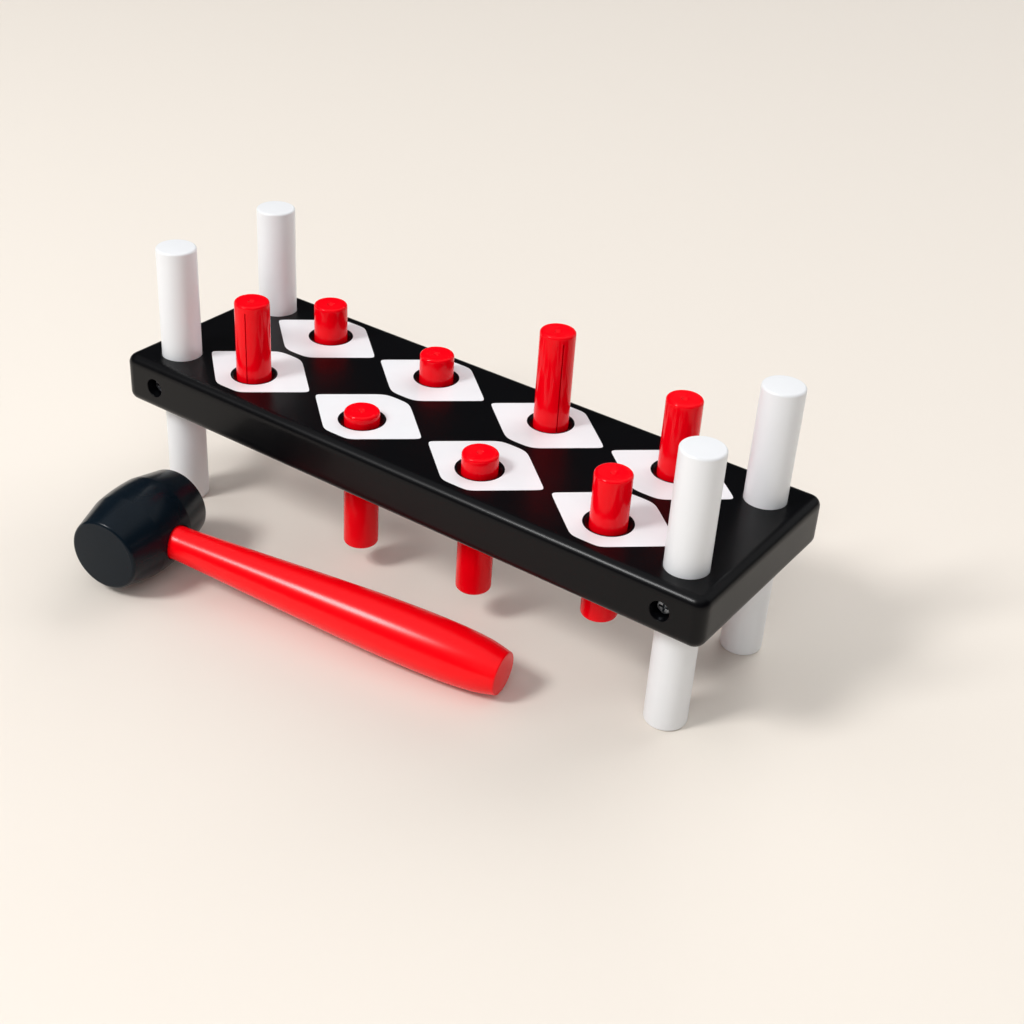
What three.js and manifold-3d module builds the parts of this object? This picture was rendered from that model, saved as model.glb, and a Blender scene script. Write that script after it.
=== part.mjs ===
// Pounding bench: a thick board on four legs that stand out above and below it, eight pegs that slide through
// the board, and a mallet lying in front of it.
// Millimetres, +Z up. X runs along the board, -Y is the front, and the floor is z = 0.
import * as THREE from 'three';
import * as BufferGeometryUtils from 'three/addons/utils/BufferGeometryUtils.js';
import Module from 'manifold-3d';

// Board
const BOARD_LENGTH = 320;
const BOARD_WIDTH = 106;
const BOARD_THICKNESS = 24;
const BOARD_EDGE_RADIUS = 4.5;
const BOARD_CORNER_RADIUS = 5.5;

// Legs, driven through the board and standing out equally above and below it
const LEG_DIAMETER = 19;
const LEG_STAND = 54.5;
const LEG_END_RADIUS = 1.2;
const LEG_END_INSET = 19.5;
const LEG_SIDE_INSET = 19.2;

// Pegs, in two rows of four
const PEG_DIAMETER = 16.4;
const PEG_LENGTH = 70.5;
const PEG_EDGE_RADIUS = 1.4;
const PEG_DISH_RADIUS = 5.6;
const PEG_DISH_DEPTH = 0.35;
const PEG_DIMPLE_RADIUS = 1.7;
const PEG_DIMPLE_DEPTH = 2.2;
const PEG_PITCH = 66.3;
const ROW_SPACING = 55;
const PEG_BORE_DIAMETER = 17;
const PEG_MOUTH_DIAMETER = 20.2;
// Height of each peg's top over the board, and the way its saw cut faces in degrees from +X, left to right
const FRONT_PEGS = [
  { lift: 38, cutTurn: -70 },
  { lift: 4.8, cutTurn: 28 },
  { lift: 8.4, cutTurn: 24 },
  { lift: 24.5, cutTurn: 16 },
];
const REAR_PEGS = [
  { lift: 17.7, cutTurn: 34 },
  { lift: 12.8, cutTurn: 27 },
  { lift: 46.5, cutTurn: -37 },
  { lift: 36.4, cutTurn: 19 },
];

// The closed saw cut through each peg that makes it springy in its hole
const CUT_WIDTH = 0.5;
const CUT_LENGTH = 64;

// Leg screws, sunk in the board's long sides
const SCREW_HEAD_DIAMETER = 7.6;
const SCREW_HEAD_HEIGHT = 2.4;
const SCREW_SHANK_DIAMETER = 4;
const SCREW_LENGTH = 20;
const SCREW_POINT_LENGTH = 4;
const SCREW_SLOT_WIDTH = 1;
const SCREW_SLOT_SPAN = 4.6;
const SCREW_SLOT_DEPTH = 1.2;
const COUNTERBORE_DIAMETER = 9;
const COUNTERBORE_DEPTH = 6.5;

// Mallet
const HEAD_LENGTH = 55;
const HEAD_MIDDLE_DIAMETER = 43.4;
const HEAD_SHOULDER_DIAMETER = 42.4;
const HEAD_END_DIAMETER = 34;
const HEAD_TAPER_LENGTH = 17.5;
const HEAD_RIM_RADIUS = 1.2;
const SOCKET_PAST_MIDDLE = 9;
const NECK_DIAMETER = 16;
// Handle outline from the neck on: distance from the head's axis, and radius
const HANDLE_OUTLINE = [[24, 8], [57, 9.6], [94, 11.5], [130, 13], [160, 13.2], [178, 12.1], [188.5, 10]];
const BUTT_EDGE_RADIUS = 0.8;
const HEAD_FROM_LEFT_END = 51.5;
const HEAD_IN_FRONT_OF_BOARD = 42.7;
const HANDLE_TURN = THREE.MathUtils.degToRad(9);

const GAP = 0.3;
const PAST = 1;
const PEG_SIDES = 24;
const SCREW_SIDES = 16;
const MALLET_SIDES = 32;

const COLOURS = {
  board: { color: 0x0e0e11, roughness: 0.25, metalness: 0 },
  leg: { color: 0xe4e5e8, roughness: 0.35, metalness: 0 },
  peg: { color: 0xe00014, roughness: 0.25, metalness: 0 },
  screw: { color: 0x8c8f94, roughness: 0.35, metalness: 1 },
  head: { color: 0x17191c, roughness: 0.55, metalness: 0 },
  handle: { color: 0xe4000f, roughness: 0.22, metalness: 0 },
};

const wasm = await Module();
wasm.setup();

// Turns a closed three.js geometry into a solid that can be cut and joined.
function solid(geometry) {
  const bare = geometry.index ? geometry.clone() : geometry;
  bare.deleteAttribute('normal');
  bare.deleteAttribute('uv');
  const merged = BufferGeometryUtils.mergeVertices(bare, 1e-4);
  const corners = merged.index.array;
  const kept = [];
  for (let i = 0; i < corners.length; i += 3) {
    const [a, b, c] = corners.slice(i, i + 3);
    if (a !== b && b !== c && c !== a) kept.push(a, b, c);
  }
  return new wasm.Manifold(new wasm.Mesh({
    numProp: 3,
    vertProperties: new Float32Array(merged.attributes.position.array),
    triVerts: new Uint32Array(kept),
  }));
}

function meshOf(name, body, look) {
  const { vertProperties, triVerts } = body.getMesh();
  const geometry = new THREE.BufferGeometry();
  geometry.setAttribute('position', new THREE.BufferAttribute(vertProperties, 3));
  geometry.setIndex(new THREE.BufferAttribute(triVerts, 1));
  geometry.computeVertexNormals();
  const mesh = new THREE.Mesh(geometry, new THREE.MeshStandardMaterial({ ...look, flatShading: true }));
  mesh.name = name;
  return mesh;
}

// A solid turned about Z from its outline, given as [radius, height] from the bottom up.
function turned(outline, sides) {
  const points = outline.map(([radius, height]) => new THREE.Vector2(radius, height));
  return solid(new THREE.LatheGeometry(points, sides).rotateX(Math.PI / 2));
}

// A quarter round from one outline point to the next, about the given centre.
function quarterRound(centreRadius, centreHeight, radius, fromDegrees, toDegrees, steps) {
  const points = [];
  for (let i = 0; i <= steps; i += 1) {
    const angle = THREE.MathUtils.degToRad(fromDegrees + ((toDegrees - fromDegrees) * i) / steps);
    points.push([centreRadius + radius * Math.cos(angle), centreHeight + radius * Math.sin(angle)]);
  }
  return points;
}

// The radius whose polygon just clears a circle of the given radius, so that a hole is never too small.
function roundedOut(radius, sides) {
  return radius / Math.cos(Math.PI / sides);
}

function roundCutter(diameter, length, sides) {
  const radius = roundedOut(diameter / 2, sides);
  return turned([[0, 0], [radius, 0], [radius, length], [0, length]], sides);
}

// Layout: the bench is centred on x = 0, with its board's middle over y = 0
const boardTop = LEG_STAND + BOARD_THICKNESS;
const legX = BOARD_LENGTH / 2 - LEG_END_INSET;
const legY = BOARD_WIDTH / 2 - LEG_SIDE_INSET;
const legPlaces = [
  { name: 'front_left', x: -legX, side: -1 },
  { name: 'front_right', x: legX, side: -1 },
  { name: 'rear_left', x: -legX, side: 1 },
  { name: 'rear_right', x: legX, side: 1 },
];
const rows = [
  { name: 'front', side: -1, pegs: FRONT_PEGS },
  { name: 'rear', side: 1, pegs: REAR_PEGS },
];
const pegPlaces = rows.flatMap((row) => row.pegs.map((peg, column) => ({
  ...peg,
  name: `peg_${row.name}_${column + 1}`,
  x: (column - (row.pegs.length - 1) / 2) * PEG_PITCH,
  y: (row.side * ROW_SPACING) / 2,
})));
const screwHeight = LEG_STAND + BOARD_THICKNESS / 2;

// The screw lies along Z with its head's underside at z = 0 and its point downwards.
function makeScrew() {
  const shank = SCREW_SHANK_DIAMETER / 2;
  const head = SCREW_HEAD_DIAMETER / 2;
  const body = turned([
    [0, -SCREW_LENGTH],
    [shank, -SCREW_LENGTH + SCREW_POINT_LENGTH],
    [shank, 0],
    [head, 0],
    [head, SCREW_HEAD_HEIGHT * 0.5],
    [head * 0.8, SCREW_HEAD_HEIGHT],
    [0, SCREW_HEAD_HEIGHT],
  ], SCREW_SIDES);
  const slot = new THREE.BoxGeometry(SCREW_SLOT_SPAN, SCREW_SLOT_WIDTH, 2 * SCREW_SLOT_DEPTH);
  const along = solid(slot.clone().translate(0, 0, SCREW_HEAD_HEIGHT));
  const across = solid(slot.clone().rotateZ(Math.PI / 2).translate(0, 0, SCREW_HEAD_HEIGHT));
  return body.subtract(along.add(across));
}

// The hole for one leg screw, from the board's long side into the leg, placed as the screw is.
function screwHole() {
  const clearance = roundCutter(SCREW_SHANK_DIAMETER + 2 * GAP, SCREW_LENGTH + GAP + PAST, SCREW_SIDES)
    .translate([0, 0, -SCREW_LENGTH - GAP]);
  const counterbore = roundCutter(COUNTERBORE_DIAMETER, COUNTERBORE_DEPTH + PAST, PEG_SIDES).translate([0, 0, -GAP]);
  return clearance.add(counterbore);
}

// Carries a shape along Z to a leg screw's place: head towards the nearer long side of the board.
function atScrewPlace(shape, place) {
  const headSeat = BOARD_WIDTH / 2 - COUNTERBORE_DEPTH + GAP;
  return shape.rotate([place.side > 0 ? -90 : 90, 0, 0]).translate([place.x, place.side * headSeat, screwHeight]);
}

function makeBoard() {
  const halfLength = BOARD_LENGTH / 2 - BOARD_CORNER_RADIUS;
  const halfWidth = BOARD_WIDTH / 2 - BOARD_CORNER_RADIUS;
  const plan = new THREE.Shape();
  plan.absarc(halfLength, halfWidth, BOARD_CORNER_RADIUS, 0, Math.PI / 2);
  plan.absarc(-halfLength, halfWidth, BOARD_CORNER_RADIUS, Math.PI / 2, Math.PI);
  plan.absarc(-halfLength, -halfWidth, BOARD_CORNER_RADIUS, Math.PI, 1.5 * Math.PI);
  plan.absarc(halfLength, -halfWidth, BOARD_CORNER_RADIUS, 1.5 * Math.PI, 2 * Math.PI);
  const slab = new THREE.ExtrudeGeometry(plan, {
    depth: BOARD_THICKNESS - 2 * BOARD_EDGE_RADIUS,
    curveSegments: 5,
    bevelThickness: BOARD_EDGE_RADIUS,
    bevelSize: BOARD_EDGE_RADIUS,
    bevelOffset: -BOARD_EDGE_RADIUS,
    bevelSegments: 4,
  }).translate(0, 0, LEG_STAND + BOARD_EDGE_RADIUS);

  const bore = roundedOut(PEG_BORE_DIAMETER / 2, PEG_SIDES);
  const mouth = roundedOut(PEG_MOUTH_DIAMETER / 2, PEG_SIDES);
  const chamfer = mouth - bore;
  const pegHole = turned([
    [0, -PAST],
    [mouth + PAST, -PAST],
    [bore, chamfer],
    [bore, BOARD_THICKNESS - chamfer],
    [mouth + PAST, BOARD_THICKNESS + PAST],
    [0, BOARD_THICKNESS + PAST],
  ], PEG_SIDES);
  const legHole = roundCutter(LEG_DIAMETER + 2 * GAP, BOARD_THICKNESS + 2 * PAST, PEG_SIDES);

  let board = solid(slab);
  for (const { x, y } of pegPlaces) board = board.subtract(pegHole.translate([x, y, LEG_STAND]));
  for (const place of legPlaces) {
    board = board.subtract(legHole.translate([place.x, place.side * legY, LEG_STAND - PAST]));
    board = board.subtract(atScrewPlace(screwHole(), place));
  }
  return board;
}

function makeLeg(place) {
  const radius = LEG_DIAMETER / 2;
  const length = BOARD_THICKNESS + 2 * LEG_STAND;
  const inner = radius - LEG_END_RADIUS;
  const post = turned([
    [0, 0],
    ...quarterRound(inner, LEG_END_RADIUS, LEG_END_RADIUS, -90, 0, 3),
    ...quarterRound(inner, length - LEG_END_RADIUS, LEG_END_RADIUS, 0, 90, 3),
    [0, length],
  ], PEG_SIDES);
  return post.translate([place.x, place.side * legY, 0]).subtract(atScrewPlace(screwHole(), place));
}

// Half of a peg's outline: from the dimple in its end out to the side.
function pegEnd() {
  return [
    [0, PEG_DIMPLE_DEPTH],
    [PEG_DIMPLE_RADIUS, PEG_DISH_DEPTH],
    [PEG_DISH_RADIUS, 0],
    ...quarterRound(PEG_DIAMETER / 2 - PEG_EDGE_RADIUS, PEG_EDGE_RADIUS, PEG_EDGE_RADIUS, -90, 0, 2),
  ];
}

function makePeg(place) {
  const lower = pegEnd();
  const upper = pegEnd().reverse().map(([radius, height]) => [radius, PEG_LENGTH - height]);
  const cut = new THREE.BoxGeometry(PEG_DIAMETER + 2 * PAST, CUT_WIDTH, CUT_LENGTH)
    .rotateZ(THREE.MathUtils.degToRad(place.cutTurn))
    .translate(0, 0, PEG_LENGTH / 2);
  return turned([...lower, ...upper], PEG_SIDES)
    .subtract(solid(cut))
    .translate([place.x, place.y, boardTop + place.lift - PEG_LENGTH]);
}

// The mallet is built about its head's middle: the head lies along Y and the handle leaves along X.
function makeHead() {
  const half = HEAD_LENGTH / 2;
  const middle = HEAD_MIDDLE_DIAMETER / 2;
  const shoulder = HEAD_SHOULDER_DIAMETER / 2;
  const end = HEAD_END_DIAMETER / 2;
  const band = half - HEAD_TAPER_LENGTH;
  const outline = [];
  for (let i = -3; i <= 3; i += 1) {
    outline.push([middle - (middle - shoulder) * (i / 3) ** 2, (band * i) / 3]);
  }
  const lowerRim = quarterRound(end - HEAD_RIM_RADIUS, HEAD_RIM_RADIUS - half, HEAD_RIM_RADIUS, -90, -15, 4);
  const upperRim = quarterRound(end - HEAD_RIM_RADIUS, half - HEAD_RIM_RADIUS, HEAD_RIM_RADIUS, 15, 90, 4);
  const barrel = turned([[0, -half], ...lowerRim, ...outline, ...upperRim, [0, half]], MALLET_SIDES);
  const socketLength = SOCKET_PAST_MIDDLE + GAP + middle + PAST;
  const socket = roundCutter(NECK_DIAMETER + 2 * GAP, socketLength, PEG_SIDES)
    .rotate([0, 90, 0])
    .translate([-SOCKET_PAST_MIDDLE - GAP, 0, 0]);
  return barrel.rotate([90, 0, 0]).subtract(socket);
}

function handleOutline() {
  const curve = new THREE.SplineCurve(HANDLE_OUTLINE.map(([along, radius]) => new THREE.Vector2(radius, along)));
  const swell = curve.getPoints(14).map(({ x, y }) => [x, y]);
  const neck = NECK_DIAMETER / 2;
  const [buttRadius, butt] = swell.at(-1);
  return [
    [0, -SOCKET_PAST_MIDDLE],
    [neck, -SOCKET_PAST_MIDDLE],
    ...swell,
    ...quarterRound(buttRadius - BUTT_EDGE_RADIUS, butt, BUTT_EDGE_RADIUS, 30, 90, 2),
    [0, butt + BUTT_EDGE_RADIUS],
  ];
}

function makeHandle() {
  return turned(handleOutline(), MALLET_SIDES).rotate([0, 90, 0]);
}

// The handle slopes down until its grip lies on the floor, with the head resting on its fattest part.
function handleSlope() {
  const rise = HEAD_MIDDLE_DIAMETER / 2;
  const angles = handleOutline()
    .filter(([, along]) => along > HEAD_MIDDLE_DIAMETER)
    .map(([radius, along]) => Math.asin(rise / Math.hypot(along, radius)) - Math.atan2(radius, along));
  return Math.min(...angles);
}

const bench = new THREE.Group();
bench.add(meshOf('board', makeBoard(), COLOURS.board));
for (const place of legPlaces) {
  bench.add(meshOf(`leg_${place.name}`, makeLeg(place), COLOURS.leg));
  bench.add(meshOf(`leg_screw_${place.name}`, atScrewPlace(makeScrew(), place), COLOURS.screw));
}
for (const place of pegPlaces) bench.add(meshOf(place.name, makePeg(place), COLOURS.peg));

const mallet = new THREE.Group();
mallet.add(meshOf('mallet_head', makeHead(), COLOURS.head));
mallet.add(meshOf('mallet_handle', makeHandle(), COLOURS.handle));
mallet.rotation.set(0, handleSlope(), HANDLE_TURN, 'ZYX');
mallet.position.set(
  HEAD_FROM_LEFT_END - BOARD_LENGTH / 2,
  -BOARD_WIDTH / 2 - HEAD_IN_FRONT_OF_BOARD,
  HEAD_MIDDLE_DIAMETER / 2,
);

// The origin is the middle of the whole object's footprint, on the floor.
const group = new THREE.Group();
group.add(bench, mallet);
const box = new THREE.Box3().setFromObject(group, true);
const middle = box.getCenter(new THREE.Vector3());
group.position.set(-middle.x, -middle.y, -box.min.z);

export default group;
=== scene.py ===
"""Pounding bench with eight pegs and a rubber mallet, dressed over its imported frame.

Run as a script inside Blender. Lengths are metres. +X runs along the board, -Y is the front, and the floor
is at z = 0.
"""

import math

import bmesh
import bpy
import numpy as np
from bpy.props import FloatProperty, FloatVectorProperty, PointerProperty
from mathutils import Matrix, Vector


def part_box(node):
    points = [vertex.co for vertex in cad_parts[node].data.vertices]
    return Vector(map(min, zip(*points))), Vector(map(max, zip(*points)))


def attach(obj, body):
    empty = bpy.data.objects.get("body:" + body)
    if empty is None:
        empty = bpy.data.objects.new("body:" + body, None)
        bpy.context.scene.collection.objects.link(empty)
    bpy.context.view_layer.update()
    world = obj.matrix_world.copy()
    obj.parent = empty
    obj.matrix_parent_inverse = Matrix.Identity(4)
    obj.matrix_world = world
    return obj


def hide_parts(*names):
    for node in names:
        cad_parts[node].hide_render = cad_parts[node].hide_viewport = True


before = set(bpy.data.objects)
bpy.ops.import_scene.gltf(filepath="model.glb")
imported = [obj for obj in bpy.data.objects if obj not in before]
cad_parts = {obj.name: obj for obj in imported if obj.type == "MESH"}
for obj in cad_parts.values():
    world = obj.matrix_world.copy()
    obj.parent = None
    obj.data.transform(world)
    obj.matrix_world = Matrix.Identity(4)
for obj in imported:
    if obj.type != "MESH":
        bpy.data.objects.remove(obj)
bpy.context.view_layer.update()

bl_info = {
    "name": "Pounding bench",
    "version": (1, 0, 0),
    "blender": (4, 5, 0),
    "location": "3D View > Sidebar > Bench",
    "description": "Builds a pounding bench with sliding pegs and a mallet",
    "category": "Add Mesh",
}

MM = 0.001
WELD = 1e-6  # sheets meet in points closer than this
CRISP = math.radians(38)  # an edge that turns by more than this is shaded as an edge
STRAIGHT_ON = 0.9999  # cosine of a direction that counts as square to the front or the rear
ROWS = ("front", "rear")
COLUMNS = ("leg_{}_left", "peg_{}_1", "peg_{}_2", "peg_{}_3", "peg_{}_4", "leg_{}_right")
CORNERS = ("front_left", "front_right", "rear_left", "rear_right")
# How far each peg is turned in its hole, as the direction its saw cut runs in, in degrees from +X
CUT_TURNS = {
    "peg_front_1": -70,
    "peg_front_2": 28,
    "peg_front_3": 24,
    "peg_front_4": 16,
    "peg_rear_1": 34,
    "peg_rear_2": 27,
    "peg_rear_3": -37,
    "peg_rear_4": 19,
}
# The handle's outline from the neck on, in millimetres: distance from the head's axis, and radius
HANDLE_OUTLINE = [[24, 8], [57, 9.6], [94, 11.5], [130, 13], [160, 13.2], [178, 12.1], [188.5, 10]]
# Where the rings of a flat cell lie, from its outline (0) to its hole's mouth (1)
CELL_RINGS = [0, 0.03, 0.3, 0.6, 0.85, 0.97, 1]
SOCKET_RINGS = [0, 0.05, 0.3, 0.55, 0.8, 0.95, 1]
# The lip of the mallet's socket, in millimetres: distance outside its wall, and depth under the skin
SOCKET_LIP = [[0.6, 0], [0.3, 0.06], [0.1, 0.25], [0, 0.6]]


def linear(code):
    """An sRGB hex colour as linear red, green and blue."""
    c = np.array([int(code[i : i + 2], 16) for i in (1, 3, 5)]) / 255
    return tuple(np.where(c <= 0.04045, c / 12.92, ((c + 0.055) / 1.055) ** 2.4))


def length(name, description, millimetres):
    return FloatProperty(
        name=name,
        description=description,
        default=millimetres * MM,
        min=0,
        subtype="DISTANCE",
        unit="LENGTH",
    )


def colour(name, description, code):
    return FloatVectorProperty(
        name=name,
        description=description,
        default=linear(code),
        min=0,
        max=1,
        size=3,
        subtype="COLOR",
    )


def angle(name, description, degrees):
    return FloatProperty(
        name=name,
        description=description,
        default=math.radians(degrees),
        subtype="ANGLE",
        unit="ROTATION",
    )


class BoardSettings(bpy.types.PropertyGroup):
    edge_radius: length("Edge radius", "Rounding along the board's edges", 4.5)
    corner_radius: length("Corner radius", "Rounding of the board's corners, seen from above", 5.5)
    peg_bore: length("Peg bore", "Diameter of the hole a peg slides in", 17)
    peg_mouth: length("Peg mouth", "Diameter of the chamfered mouth of a peg hole", 20.2)
    mouth_radius: length("Mouth rounding", "How softly the lacquer fills the mouth's edges", 0.8)
    leg_clearance: length("Leg clearance", "Gap between a leg and its hole", 0.3)
    counterbore: length("Counterbore", "Diameter of the hole over a leg screw", 9)
    counterbore_depth: length("Counterbore depth", "How deep the screw's hole is", 6.5)
    lacquer: colour("Lacquer", "Colour of the board's lacquer", "#060608")


class PrintSettings(bpy.types.PropertyGroup):
    half_length: length("Half length", "Reach of a printed tile along the board", 31.6)
    half_flat: length("Half flat", "Half the length of a tile's straight edges", 7)
    outer_reach: length("Outer reach", "Reach towards the board's long edge", 18.2)
    inner_reach: length("Inner reach", "Reach towards the board's middle", 25.7)
    crispness: FloatProperty(
        name="Crispness", description="How sharp the tile's corners are", default=22, min=4, max=100
    )
    margin: length("Margin", "Bare ring between the print and the hole's mouth", 0.9)
    thickness: length("Thickness", "How far the ink stands over the lacquer", 0.04)
    ink: colour("Ink", "Colour of the print", "#E6E7E9")


class LegSettings(bpy.types.PropertyGroup):
    end_radius: length("End radius", "Rounding at both ends of a leg", 1.2)
    lacquer: colour("Lacquer", "Colour of the legs' lacquer", "#E5E6E8")


class ScrewSettings(bpy.types.PropertyGroup):
    head_height: length("Head height", "Height of the screw's head", 2.4)
    core: length("Core", "Diameter of the screw's core", 2.7)
    crest: length("Crest", "Diameter over the thread", 4)
    pitch: length("Pitch", "Distance from thread to thread", 1.8)
    point: length("Point", "Length of the tapered point", 4)
    recess_width: length("Recess width", "Width of an arm of the cross recess", 1)
    recess_span: length("Recess span", "Length of the cross recess from end to end", 4.6)
    recess_depth: length("Recess depth", "Depth of the cross recess", 1.2)
    zinc: colour("Zinc", "Colour of the plating", "#8E9298")


class PegSettings(bpy.types.PropertyGroup):
    edge_radius: length("Edge radius", "Rounding round a peg's ends", 1.4)
    dish_radius: length("Dish radius", "Radius of the shallow dish in a peg's end", 5.6)
    dish_depth: length("Dish depth", "Depth of the dish", 0.35)
    dimple_radius: length("Dimple radius", "Radius of the lathe centre's dimple", 1.7)
    dimple_depth: length("Dimple depth", "Depth of the dimple", 2.2)
    cut_width: length("Saw cut width", "Width of the cut that makes a peg springy", 0.5)
    cut_length: length("Saw cut length", "Length of the closed cut", 64)
    lacquer: colour("Lacquer", "Colour of the pegs' lacquer", "#EF0012")


class MalletSettings(bpy.types.PropertyGroup):
    head_length: length("Head length", "Length of the mallet's head", 55)
    middle: length("Middle diameter", "Diameter of the head's middle", 43.4)
    shoulder: length("Shoulder diameter", "Diameter where the crowned band ends", 42.4)
    end: length("End diameter", "Diameter of the head's ends", 34)
    taper: length("Taper", "Length of the cone at each end of the head", 17.5)
    rim_radius: length("Rim radius", "Rounding round the head's faces", 1.75)
    socket_depth: length("Socket depth", "How far the handle goes in past the head's axis", 9)
    neck: length("Neck diameter", "Diameter of the handle in the head", 16)
    socket_gap: length("Socket gap", "Gap between the handle and the head", 0.3)
    butt_radius: length("Butt rounding", "Rounding round the handle's end", 0.8)
    turn: angle("Handle turn", "Way the handle points, from +X", 9)
    rubber: colour("Rubber", "Colour of the head", "#08121A")
    lacquer: colour("Lacquer", "Colour of the handle's lacquer", "#F8000E")


class StageSettings(bpy.types.PropertyGroup):
    azimuth: angle("Azimuth", "Way the camera looks, from +Y towards -X", 33.24)
    elevation: angle("Elevation", "How steeply the camera looks down", 32.22)
    roll: angle("Roll", "How far the camera is rolled", -4)
    place: FloatVectorProperty(
        name="Place",
        description="Where the camera stands",
        default=(0.3654, -0.4704, 0.4247),
        subtype="TRANSLATION",
    )
    lens: FloatProperty(
        name="Lens", description="Focal length in millimetres on a 36 mm sensor", default=54.95, min=1
    )
    floor: colour("Floor", "Colour of the floor", "#E1D9CF")


def rounded(corners, radii, steps=6):
    """An outline with round corners. A corner is cut back by radius / tan(half its inside angle) along both
    its arms, and an arc about the point radius / sin(half the angle) along its bisector joins the cuts.
    Along the arc a point is the start times sin((1 - t) * sweep) plus the end times sin(t * sweep), all over
    sin(sweep)."""
    corners = np.asarray(corners, float)
    middle = corners[1:-1]
    back = corners[:-2] - middle
    back /= np.linalg.norm(back, axis=1, keepdims=True)
    on = corners[2:] - middle
    on /= np.linalg.norm(on, axis=1, keepdims=True)
    half = np.arccos(np.clip((back * on).sum(1), -1, 1)) / 2
    radii = np.broadcast_to(np.asarray(radii, float), half.shape)
    bisector = back + on
    bisector /= np.linalg.norm(bisector, axis=1, keepdims=True)
    centre = middle + bisector * (radii / np.sin(half))[:, None]
    reach = (radii / np.tan(half))[:, None]
    sweep = (math.pi - 2 * half)[:, None, None]
    t = np.linspace(0, 1, steps + 1)[None, :, None]
    start = (middle + back * reach - centre)[:, None]
    end = (middle + on * reach - centre)[:, None]
    arcs = centre[:, None] + (np.sin((1 - t) * sweep) * start + np.sin(t * sweep) * end) / np.sin(sweep)
    return np.concatenate([corners[:1], arcs.reshape(-1, 2), corners[-1:]])


def turned(outline, angles):
    """An outline of (radius, height) carried round the Z axis: (radius cos a, radius sin a, height)."""
    radius = outline[:, 0, None]
    height = np.broadcast_to(outline[:, 1, None], (len(outline), len(angles)))
    return np.stack([radius * np.cos(angles), radius * np.sin(angles), height], -1)


def round_angles(sides):
    """The directions of a full turn in even steps: 2 pi k / sides."""
    return np.arange(sides) * 2 * math.pi / sides


def sheet(points, closed=False, keep=None):
    """A grid of points as (points, quads). The last column of a closed sheet joins its first. By keep,
    one flag for each quad, quads can be left out."""
    rows, columns = points.shape[:2]
    i, j = np.mgrid[0 : rows - 1, 0 : columns if closed else columns - 1]
    k = (j + 1) % columns
    quads = np.stack([i * columns + j, i * columns + k, (i + 1) * columns + k, (i + 1) * columns + j], -1)
    if keep is not None:
        quads = quads[keep]
    return points.reshape(-1, 3), quads.reshape(-1, 4)


def make_piece(name, sheets, finish, body, slot, *nodes):
    """Welds the sheets into one closed mesh, and puts it on its body in place of the CAD nodes."""
    starts = np.cumsum([0] + [len(points) for points, quads in sheets])
    mesh = bpy.data.meshes.new(name)
    mesh.from_pydata(
        np.concatenate([points for points, quads in sheets]),
        [],
        np.concatenate([quads + start for (points, quads), start in zip(sheets, starts)]),
    )
    edit = bmesh.new()
    edit.from_mesh(mesh)
    bmesh.ops.remove_doubles(edit, verts=edit.verts, dist=WELD)
    bmesh.ops.recalc_face_normals(edit, faces=edit.faces)
    gaps = sum(not edge.is_manifold for edge in edit.edges)
    edit.to_mesh(mesh)
    edit.free()
    if gaps:
        raise RuntimeError(f"{name} has {gaps} edges that don't close")
    mesh.shade_smooth()
    mesh.set_sharp_from_angle(angle=CRISP)
    mesh.materials.append(finish)
    piece = bpy.data.objects.new(name, mesh)
    bpy.context.collection.objects.link(piece)
    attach(piece, body)
    if nodes:
        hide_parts(*nodes)


def outline_of(cuts_x, cuts_y, counts_x, counts_y, radii=(0, 0, 0, 0)):
    """A rectangle's outline, anticlockwise from its low corner, and its outward directions. The cuts divide
    each side into stretches of evenly spaced points, and its ends are drawn in by the radii of its corners,
    where arcs (radius cos a, radius sin a) join the sides."""

    def side(cuts, counts, first, last):
        ends = np.array(cuts, float)
        ends[0] += first
        ends[-1] -= last
        stretches = [np.linspace(a, b, n, endpoint=False) for a, b, n in zip(ends, ends[1:], counts)]
        return np.concatenate([*stretches, ends[-1:]])

    r = radii
    arc_steps = 6
    sides = [
        side(cuts_x, counts_x, r[0], r[1]),
        side(cuts_y, counts_y, r[1], r[2]),
        side(cuts_x, counts_x, r[3], r[2])[::-1],
        side(cuts_y, counts_y, r[0], r[3])[::-1],
    ]
    fixed = [cuts_y[0], cuts_x[-1], cuts_y[-1], cuts_x[0]]
    points, directions = [], []
    for k in range(4):
        along = sides[k] if r[(k + 1) % 4] else sides[k][:-1]
        across = np.full(len(along), fixed[k])
        points.append(np.stack([along, across] if k % 2 == 0 else [across, along], 1))
        facing = (k - 1) * math.pi / 2
        directions.append(np.tile([math.cos(facing), math.sin(facing)], (len(along), 1)))
        radius = r[(k + 1) % 4]
        if radius:
            a = facing + np.linspace(0, math.pi / 2, arc_steps + 1)[1:-1]
            turn = np.stack([np.cos(a), np.sin(a)], 1)
            centre = points[-1][-1] - radius * directions[-1][-1]
            points.append(centre + radius * turn)
            directions.append(turn)
    return np.concatenate(points), np.concatenate(directions)


def holed_cell(outline, centre, profile):
    """A flat cell with a hole, as rows of (u, v, depth), and how many of them are flat: straight lines
    outline + t * (mouth - outline) run in to the hole's mouth, and from there the hole's profile of
    (radius, depth) is turned about the centre."""
    away = outline - centre
    away /= np.linalg.norm(away, axis=1, keepdims=True)
    mouth = centre + profile[0, 0] * away
    t = np.array(CELL_RINGS)[:, None, None]
    flat = outline + t * (mouth - outline)
    wall = centre + profile[1:, 0, None, None] * away
    depth = np.concatenate([np.full(len(flat), profile[0, 1]), profile[1:, 1]])
    plan = np.concatenate([flat, wall])
    depth = np.broadcast_to(depth[:, None, None], plan.shape[:2] + (1,))
    return np.concatenate([plan, depth], -1), len(flat)


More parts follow.
